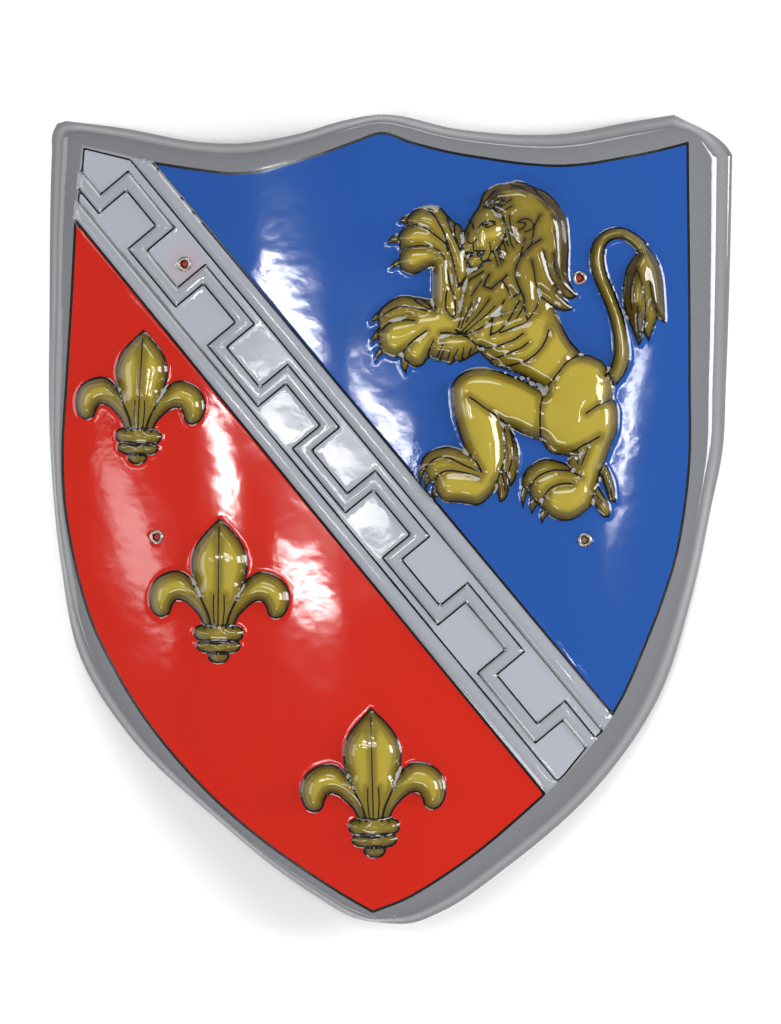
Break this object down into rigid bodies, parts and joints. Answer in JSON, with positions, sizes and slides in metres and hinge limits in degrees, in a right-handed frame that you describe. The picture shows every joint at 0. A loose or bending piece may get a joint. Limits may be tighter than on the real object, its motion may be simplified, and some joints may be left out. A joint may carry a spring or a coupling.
{
  "type": "toy heater shield",
  "caption": "Child's costume heater shield: thin formed plastic shell with a raised lion, lilies and fret band, carried by two straps behind.",
  "frame": {"origin": "centre of the footprint, on the surface that the shield lies on", "axes": "+X to the right of the face, +Y to the top edge, +Z out of the face"},
  "size_m": [0.4122, 0.486, 0.0531],
  "materials": {
    "printed_shell": "glossy printed plastic sheet",
    "strap": "moulded soft plastic",
    "eyelet": "plated steel"
  },
  "bodies": {
    "root": {"shell": "printed_shell", "arm_strap": "strap", "grip_strap": "strap", "arm_upper_eyelet": "eyelet", "arm_lower_eyelet": "eyelet", "grip_upper_eyelet": "eyelet", "grip_lower_eyelet": "eyelet"}
  },
  "joints": []
}
